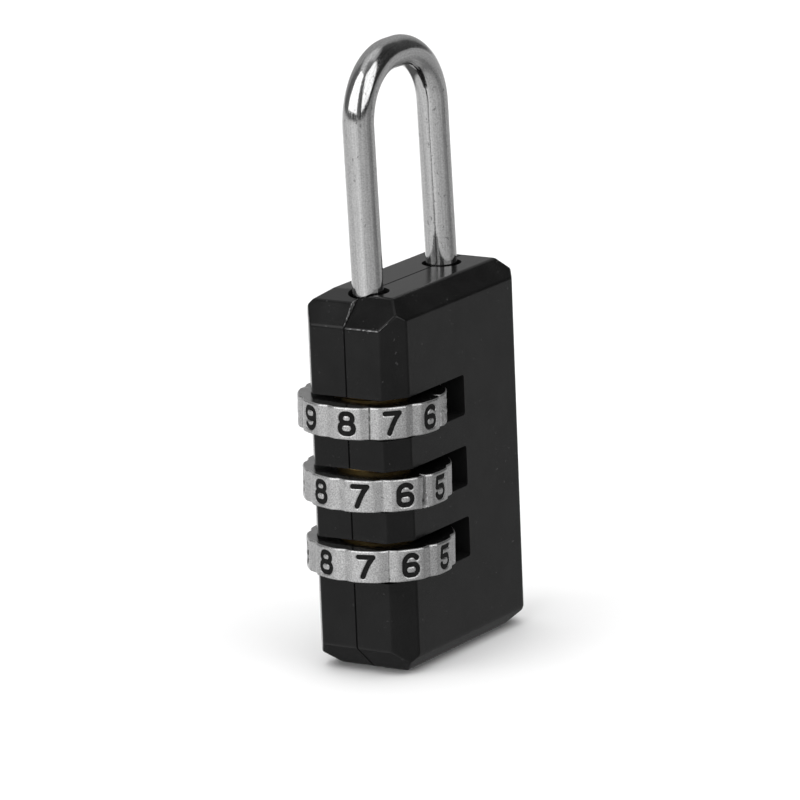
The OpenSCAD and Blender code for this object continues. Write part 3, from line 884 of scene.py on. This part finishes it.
# All measures in this section are in millimetres. First a digit's half width and half height, to the
# middles of its strokes, and a stroke's width. Then the radii and heights of a digit's two bowls.
DIGIT_X, DIGIT_Y, STROKE = 0.7, 0.95, 0.5
LOW_R = 0.53 * DIGIT_Y
TOP_R = DIGIT_Y - LOW_R
LOW_Y, TOP_Y, MID_Y = LOW_R - DIGIT_Y, DIGIT_Y - TOP_R, 2 * LOW_R - DIGIT_Y


def arc(x, y, r, start, end):
    """Points on a circle, from one angle in degrees to another."""
    count = max(2, int(abs(end - start) / 7.5))
    angles = [math.radians(start + (end - start) * k / count) for k in range(count + 1)]
    return [(x + r * math.cos(a), y + r * math.sin(a)) for a in angles]


def loop(shift, y, r):
    """A closed rounded loop, stretched sideways by shift both ways."""
    points = arc(shift, y, r, -90, 90) + arc(-shift, y, r, 90, 270)
    return points + points[:1]


def digit_lines(n):
    """The middles of a digit's strokes, as lists of points."""
    x, y, r = DIGIT_X, DIGIT_Y, LOW_R + 0.04
    if n == 0:
        points = arc(0, y - x, x, 0, 180) + arc(0, x - y, x, 180, 360)
        return [points + points[:1]]
    if n == 1:
        return [[(0.12, -y), (0.12, y), (-0.48, y - 0.5)]]
    if n == 2:
        return [arc(0, y - 0.66, 0.66, 170, -40) + [(-x + 0.1, -y), (x, -y)]]
    if n == 3:
        return [
            arc(-0.16, TOP_Y, TOP_R, 165, 90) + arc(0.16, TOP_Y, TOP_R, 90, -90) + [(-0.1, MID_Y)],
            [(-0.1, MID_Y)] + arc(0.2, LOW_Y, LOW_R, 90, -90) + arc(-0.18, LOW_Y, LOW_R, 270, 195),
        ]
    if n == 4:
        return [[(0.35, -y), (0.35, y), (-x + 0.03, -0.45), (x, -0.45)]]
    if n == 5:
        return [[(x - 0.05, y), (-0.52, y), (-0.62, MID_Y + 0.06)] + arc(0.1, LOW_Y + 0.04, r, 90, -90)
                + arc(-0.12, LOW_Y + 0.04, r, 270, 195)]
    if n == 7:
        return [[(-x, y), (x, y), (0.3, 0.4), (0.0, -0.2), (-0.3, -y)]]
    if n == 8:
        return [loop(0.13, TOP_Y, TOP_R), loop(0.18, LOW_Y, LOW_R)]
    stem = [(-0.18 - LOW_R, LOW_Y)] + arc(-0.18 - LOW_R + x, y - x, x, 180, 35)
    lines = [loop(0.18, LOW_Y, LOW_R), stem]
    if n == 9:
        return [[(-px, -py) for px, py in line] for line in lines]
    return lines


def inside_stroke(n, u, v):
    """How far points (u, v) in millimetres lie inside the strokes of digit n, negative outside."""
    nearest = np.full(u.shape, 9.0)
    for line in digit_lines(n):
        for (ax, ay), (bx, by) in zip(line, line[1:]):
            dx, dy = bx - ax, by - ay
            square = max(dx * dx + dy * dy, 1e-12)
            t = np.clip(((u - ax) * dx + (v - ay) * dy) / square, 0, 1)
            nearest = np.minimum(nearest, np.hypot(u - ax - t * dx, v - ay - t * dy))
    return STROKE / 2 - nearest


def snapped(n, u, v, cell):
    """Grid points, with those next to a digit's edge moved onto that edge, and their depth inside it."""
    d = inside_stroke(n, u, v)
    near = np.abs(d) < 0.5 * cell
    h = 0.002
    gu = (inside_stroke(n, u + h, v) - inside_stroke(n, u - h, v)) / (2 * h)
    gv = (inside_stroke(n, u, v + h) - inside_stroke(n, u, v - h)) / (2 * h)
    slope = np.maximum(np.hypot(gu, gv), 0.3)
    move = np.where(near, -d / slope, 0.0)
    return u + move * gu / slope, v + move * gv / slope, np.where(near, 0.0, d)


PAD = 2 * math.pi / 10
FRONT = 1.5 * math.pi  # the angle of the front face, -Y
CELL = 0.06
# Distances from a pad's middle where a dial's mesh has a column, out to the middle of the groove
FINE_COLUMNS = [k * CELL for k in range(-17, 18)]
EDGE_COLUMNS = [1.14, 1.28, 1.4, 1.5, 1.6, 1.72, 1.84, 1.94, 2.02, 2.08, 2.14]
ROWS = [k * CELL for k in range(-21, 22)]
DIAL_EDGE = 0.15
# A dial's broken edges, as (rise, run) from where the rim ends: steep at the top, small below
TOP_EDGE = ((0.012, 0.004), (0.11, 0.06), (0.15, 0.13))
LOW_EDGE = ((0.06, 0.01), (0.14, 0.07), (0.15, 0.1))
BORE_HIGH, BORE_LOW, BORE_EDGE, FACE_R = 3.85, 3.9, 0.15, 5.6
# The notches for the lug, one under each groove: radius, height and half width
NOTCH_R, NOTCH_H, NOTCH_HALF = 4.5, 1.6, 0.9
# Anything further from the axis than this is on the rim
RIM_R = 6
# The engraving: the drop at its edge, its floor's depth below that, and the rounding's width outside
LIP, SUNK, SHOULDER = 0.05, 0.18, 0.09
# The paint in it: how far its top is under the rim, its dip in mid stroke, and how far its foot is
INK_TOP, INK_DIP, INK_FOOT = 0.09, 0.02, 0.2


def groove(s):
    """Depth of the wide V between two pads, s from its middle, in millimetres."""
    half, depth, soft = 0.82, 0.25, 0.09
    slope = depth / half
    return np.maximum(0, depth - slope * (np.sqrt(s * s + soft * soft) - soft * 0.6))


def dial_skin(front_digit, turn):
    """Grids over the rim of a dial, rows by columns.

    They give angle, height, radius, the depth inside the digits and the distance from the nearest groove."""
    radius, half = DIAL_R / MM, DIAL_H / MM / 2
    columns = sorted([-e for e in EDGE_COLUMNS] + FINE_COLUMNS + EDGE_COLUMNS)
    rows = [-half + DIAL_EDGE] + ROWS + [half - DIAL_EDGE]
    u, v = np.meshgrid(np.array(columns), np.array(rows))
    last = np.full((len(rows), 1), PAD * radius / 2)
    angle, height, inside = [], [], []
    for k in range(10):
        middle = FRONT + turn + k * PAD
        su, sv, d = snapped((front_digit - k) % 10, u, v, CELL)
        angle += [middle + su / radius, middle + last / radius]
        height += [sv, np.array(rows)[:, None]]
        inside += [d, np.full_like(last, -9.0)]
    angle, height, d = (np.concatenate(part, axis=1) for part in (angle, height, inside))
    phase = (angle - FRONT - turn) / PAD
    s = (phase - np.floor(phase) - 0.5) * PAD * radius
    step = np.clip(d / 0.05, 0, 1)
    wall = LIP + SUNK * step * step * (3 - 2 * step)
    shoulder = np.clip(LIP * (1 + d / SHOULDER), 0, LIP)
    return angle, height, radius - groove(s) - np.where(d > 0, wall, shoulder), d, s


def settle(name):
    """How a dial really sits in its window: a little tilted, low or sideways on its loose fit."""
    across, drop = {"top": (-0.06, 0.0), "middle": (0.15, 0.08), "bottom": (0.22, 0.0)}[name]
    tilt = math.radians(1.2)
    view = Vector((FRONT_X, FRONT_Y, 0))
    right = Vector((FRONT_Y, -FRONT_X, 0))
    place = Vector((AXIS_X, 0, DIAL_Z[name])) + across * MM * right - Vector((0, 0, drop * MM))
    return Matrix.Translation(place) @ Matrix.Rotation(tilt, 4, view)


def ring_points(angle, radius, height, place):
    """Points in metres at the angles, radii and heights, for a dial that sits at place."""
    x, y, z = (part.ravel() * MM for part in (radius * np.cos(angle), radius * np.sin(angle), height))
    return (np.array(place) @ np.stack([x, y, z, np.ones_like(x)]))[:3].T


def pads_from(phase, place):
    """How far round the dial the points are from a place, in pads from -5 to 5."""
    return (phase - place + 5) % 10 - 5


def whole_dial(angle, height, radius, s):
    """The rim's grids with rows for the edges, faces and bore, and how many rows lie below the rim."""
    half = DIAL_H / MM / 2
    step = -half + NOTCH_H
    rim = DIAL_R / MM - groove(s[0])
    notch = np.where(np.abs(s[0]) * BORE_LOW / (DIAL_R / MM) < NOTCH_HALF, NOTCH_R, BORE_LOW)
    full = np.full(angle.shape[1], 1.0)

    def row(z, r):
        return angle[:1], (full * z)[None, :], (full * r)[None, :]

    over = [row(half - DIAL_EDGE + rise, rim - run) for rise, run in TOP_EDGE]
    over += [row(half, FACE_R), row(half, BORE_HIGH + BORE_EDGE), row(half - BORE_EDGE, BORE_HIGH),
             row(step, BORE_HIGH)]
    under = [row(-half + DIAL_EDGE - rise, rim - run) for rise, run in LOW_EDGE]
    under += [row(-half, FACE_R), row(-half, notch), row(step, notch)]
    rows = under[::-1] + [(angle, height, radius)] + over
    angle, height, radius = (np.concatenate([part[i] for part in rows]) for i in range(3))
    return angle, height, radius, len(under)


def flawed(height, r, phase, flaws, roll):
    """Heights and radii with the casting's flaws, and how open the cracks are. Each flaw draws anew."""
    half = DIAL_H / MM / 2
    cracks = np.zeros(r.shape)
    for place, kind in flaws:
        away = pads_from(phase, place)
        rough = np.array([roll.uniform(0, 1) for _ in range(r.size)]).reshape(r.shape)
        if kind == "burr":
            low = np.clip((-half + 0.2 - height) / 0.2, 0, 1)
            height = height - 0.3 * rough * low * np.exp(-(away / 0.13) ** 2) * (r > RIM_R)
        elif kind == "crack":
            width = 0.13 + 0.16 * np.clip(-height / 1.2, 0, 1)
            opened = np.clip(1.3 - np.abs(away) * PAD * DIAL_R / MM / width, 0, 1)
            r = r - 0.6 * opened * (r > RIM_R)
            cracks = np.maximum(cracks, opened)
        else:
            near = np.clip((0.16 - np.abs(away - 0.17)) / 0.03, 0, 1)
            r = r - 0.06 * rough * near * (r > RIM_R)
    return height, r, cracks


def darkening(cracks, height, phase, lines, pits):
    """How dark each point is marked, from 0 to 1: in the cracks, along the lines and in the pits."""
    dark_marks = cracks
    for place, strength in lines:
        away = np.abs(pads_from(phase, place))
        dark_marks = np.maximum(dark_marks, np.clip(2 - 2 * away / (0.05 * strength), 0, 1))
    for place, z, size in pits:
        away = np.hypot(pads_from(phase, place) * PAD * DIAL_R / MM, height - z)
        dark_marks = np.maximum(dark_marks, np.clip(1.6 - away / size, 0, 1))
    return dark_marks


def dial(name, front_digit, turn, lines, pits, flaws, metal, faces):
    """One dial: the rim's skin, rounded edges, two flat faces and the bore with notches for the lug."""
    angle, height, radius, d, s = dial_skin(front_digit, turn)
    angle, height, r, below = whole_dial(angle, height, radius, s)
    total, count = angle.shape
    phase = (angle - FRONT - turn) / PAD
    roll = random.Random(front_digit * 10 + len(pits))
    height, r, cracks = flawed(height, r, phase, flaws, roll)
    quads, kinds = [], []
    first_rim, last_rim = below - len(LOW_EDGE), below + len(ROWS) + len(TOP_EDGE)
    for i in range(total):
        j = (i + 1) % total
        for k in range(count):
            m = (k + 1) % count
            quads.append((i * count + k, i * count + m, j * count + m, j * count + k))
            kinds.append(0 if first_rim <= i <= last_rim else 1)
    mesh = bpy.data.meshes.new("dial_" + name)
    mesh.from_pydata(ring_points(angle, r, height, settle(name)).tolist(), [], quads)
    mesh.polygons.foreach_set("material_index", kinds)
    sunk = np.zeros(angle.shape)
    sunk[below:below + d.shape[0]] = np.clip(d / 0.05, 0, 1)
    # The second attribute: how much darker each point is along some grooves, in the cracks and in the pits
    for key, values in (("sunk", sunk), ("dark_marks", darkening(cracks, height, phase, lines, pits))):
        layer = mesh.attributes.new(key, "FLOAT", "POINT")
        layer.data.foreach_set("value", values.ravel().astype(np.float32))
    mesh.update()
    obj = new_object("dial_" + name + "_ring", mesh)
    obj.data.materials.append(metal)
    obj.data.materials.append(faces)
    finish_shading(obj, math.radians(25))
    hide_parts("dial_" + name)
    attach(obj, "dial_" + name)


def digits_paint(name, front_digit, turn, material):
    """The paint in the engraving: a closed slab for each digit, a little below the rim."""
    angle, height, _, d, _ = dial_skin(front_digit, turn)
    rows, count = angle.shape
    good = d > -1e-6
    top = DIAL_R / MM - INK_TOP - INK_DIP * np.clip(d / 0.12, 0, 1)
    place = settle(name)
    high = ring_points(angle, top, height, place)
    low = ring_points(angle, np.full_like(top, DIAL_R / MM - INK_FOOT), height, place)
    bm = bmesh.new()
    made, borders = {}, {}

    def vert(i, k):
        if (i, k) not in made:
            n = i * count + k
            made[(i, k)] = (bm.verts.new(high[n]), bm.verts.new(low[n]))
        return made[(i, k)]

    for i in range(rows - 1):
        for k in range(count - 1):
            corners = [c for c in ((i, k), (i, k + 1), (i + 1, k + 1), (i + 1, k)) if good[c]]
            if len(corners) < 3 or not any(d[c] > 1e-6 for c in corners):
                continue
            pairs = [vert(*c) for c in corners]
            bm.faces.new([p[0] for p in pairs])
            bm.faces.new([p[1] for p in reversed(pairs)])
            for a, b in zip(corners, corners[1:] + corners[:1]):
                if (b, a) in borders:
                    del borders[(b, a)]
                else:
                    borders[(a, b)] = True
    for a, b in borders:
        (a_high, a_low), (b_high, b_low) = vert(*a), vert(*b)
        bm.faces.new((b_high, a_high, a_low, b_low))
    bmesh.ops.recalc_face_normals(bm, faces=bm.faces)
    obj = new_object("digits_" + name, to_mesh(bm, "digits_" + name))
    obj.data.materials.append(material)
    finish_shading(obj)
    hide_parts("numerals_" + name)
    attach(obj, "dial_" + name)


# ---- The build ----

# For each dial: the digit at the front, its angle in degrees off the click, the grooves with a dark line
# (place, darkness), the casting pits (place, then height and size in millimetres), and the flaws (place,
# kind). Places are in pads from the front one.
SHOWN = {
    "top": (6, -6.1, ((-1.5, 0.6), (3.5, 0.7), (6.5, 0.5)),
            ((-1.54, 0.55, 0.06), (-1.5, -1.1, 0.08), (4.1, 0.9, 0.07)),
            ((0.5, "rough"), (0.5, "crack"), (5.5, "rough"))),
    "middle": (5, 0.4, ((0.5, 0.3), (4.5, 0.8)),
               ((-1.52, -0.1, 0.08), (-1.49, -0.16, 0.06), (-0.47, -1.0, 0.14), (5.6, 0.2, 0.06)),
               ((-0.5, "crack"), (-0.5, "burr"))),
    "bottom": (5, 2.2, ((-1.5, 0.35), (2.5, 0.7)),
               ((-1.49, -1.2, 0.09), (-0.34, 0.1, 0.06), (-1.75, 0.75, 0.04), (3.4, -0.6, 0.07)),
               ((3.5, "burr"),)),
}

camera()
floor()
shell_materials = (paint_material(), inner_material(), worn_material())
half_shell("front_half", -1, shell_materials)
half_shell("rear_half", 1, shell_materials)
chrome = chrome_material()
shackle(chrome)
fins(chrome)
dial_metal, dial_faces, ink = dial_material(), dial_face_material(), ink_material()
for name, (front_digit, turn, lines, pits, flaws) in SHOWN.items():
    dial(name, front_digit, math.radians(turn), lines, pits, flaws, dial_metal, dial_faces)
    digits_paint(name, front_digit, math.radians(turn), ink)

brass = turned_material("turned_brass", (0.5, 0.34, 0.12, 1), (0.62, 0.45, 0.2, 1), 3000)
steel = turned_material("spring_steel", grey(0.4), grey(0.55), 3000)
coil(steel)
for node, obj in NODES.items():
    obj.data.materials.clear()
    obj.data.materials.append(brass if node.startswith("sleeve") else steel)

studio()
